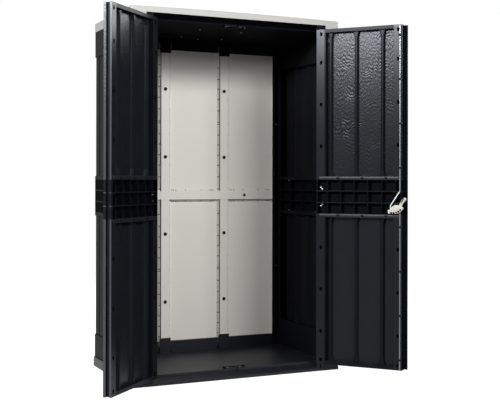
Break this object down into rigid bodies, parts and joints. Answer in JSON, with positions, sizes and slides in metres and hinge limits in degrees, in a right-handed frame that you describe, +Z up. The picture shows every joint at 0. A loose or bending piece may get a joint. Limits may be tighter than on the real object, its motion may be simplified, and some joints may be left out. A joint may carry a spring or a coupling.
{
  "type": "garden storage cabinet",
  "caption": "Tall two-door resin storage cabinet with planked walls, belt joints, a shallow roof cap and a rod lock on the right door.",
  "frame": {"origin": "centre of the base tray's underside, on the ground", "axes": "+Z up, the doors face -Y, +X to the right of someone who faces the doors"},
  "size_m": [1.5575, 1.0058, 1.82],
  "materials": {
    "wall_resin": "dark anthracite moulded resin with a fine wood-grain relief",
    "back_resin": "light warm grey moulded resin, satin",
    "roof_resin": "light grey moulded resin, satin",
    "zinc_steel": "zinc plated steel",
    "black_plastic": "black moulded plastic, fine texture",
    "plug_plastic": "light grey plastic plug",
    "hub_plastic": "light grey moulded plastic, satin"
  },
  "bodies": {
    "cabinet": {"base_tray": "wall_resin", "ceiling_tray": "wall_resin", "roof_cap": "roof_resin", "roof_screws": "zinc_steel", "left_wall_lower_panel": "wall_resin", "left_wall_belt": "wall_resin", "left_wall_upper_panel": "wall_resin", "right_wall_lower_panel": "wall_resin", "right_wall_belt": "wall_resin", "right_wall_upper_panel": "wall_resin", "left_wall_screws": "zinc_steel", "right_wall_screws": "zinc_steel", "back_lower_panel_left": "back_resin", "back_upper_panel_left": "back_resin", "back_lower_panel_middle": "back_resin", "back_upper_panel_middle": "back_resin", "back_lower_panel_right": "back_resin", "back_upper_panel_right": "back_resin", "back_wall_plugs": "plug_plastic", "back_corner_screws": "zinc_steel", "floor_keeper": "black_plastic", "ceiling_keeper": "black_plastic", "keeper_screws": "zinc_steel", "right_end_hinge_pins": "zinc_steel", "left_end_hinge_pins": "zinc_steel", "right_middle_hinge_bracket": "black_plastic", "left_middle_hinge_bracket": "black_plastic", "hinge_bracket_screws": "zinc_steel"},
    "left_door": {"left_door_lower_panel": "wall_resin", "left_door_belt": "wall_resin", "left_door_upper_panel": "wall_resin", "left_door_joint_screws": "zinc_steel", "left_door_hinge_screws": "zinc_steel", "left_middle_hinge_pin": "zinc_steel"},
    "right_door": {"right_door_lower_panel": "wall_resin", "right_door_belt": "wall_resin", "right_door_upper_panel": "wall_resin", "right_door_joint_screws": "zinc_steel", "right_door_hinge_screws": "zinc_steel", "right_middle_hinge_pin": "zinc_steel", "lock_rod_guides": "black_plastic", "handle_rosette": "black_plastic", "handle_rosette_screws": "zinc_steel"},
    "lock": {"lock_hub": "hub_plastic", "lock_spindle": "zinc_steel", "outside_handle": "black_plastic"},
    "upper_rod": {"upper_lock_rod": "zinc_steel"},
    "lower_rod": {"lower_lock_rod": "zinc_steel"}
  },
  "joints": [
    {"name": "right_door_hinge", "type": "hinge", "parent": "cabinet", "child": "right_door", "pos_m": [0.4565, -0.298, 0.902], "axis": [0, 0, 1], "range_deg": [-130.5, 9.5]},
    {"name": "left_door_hinge", "type": "hinge", "parent": "cabinet", "child": "left_door", "pos_m": [-0.4565, -0.298, 0.902], "axis": [0, 0, -1], "range_deg": [-135.5, 4.5]},
    {"name": "handle_turn", "type": "hinge", "parent": "right_door", "child": "lock", "pos_m": [0.70456, -0.63926, 0.838], "axis": [0.7604, 0.6494, 0], "range_deg": [0, 60]},
    {"name": "upper_rod_slide", "type": "slide", "parent": "right_door", "child": "upper_rod", "axis": [0, 0, 1], "range_m": [0, 0.0272]},
    {"name": "lower_rod_slide", "type": "slide", "parent": "right_door", "child": "lower_rod", "axis": [0, 0, -1], "range_m": [0, 0.0272]}
  ],
  "couplings": [
    {"joint": "upper_rod_slide", "follows": "handle_turn", "m_per_rad": 0.02583},
    {"joint": "lower_rod_slide", "follows": "handle_turn", "m_per_rad": 0.02583}
  ]
}
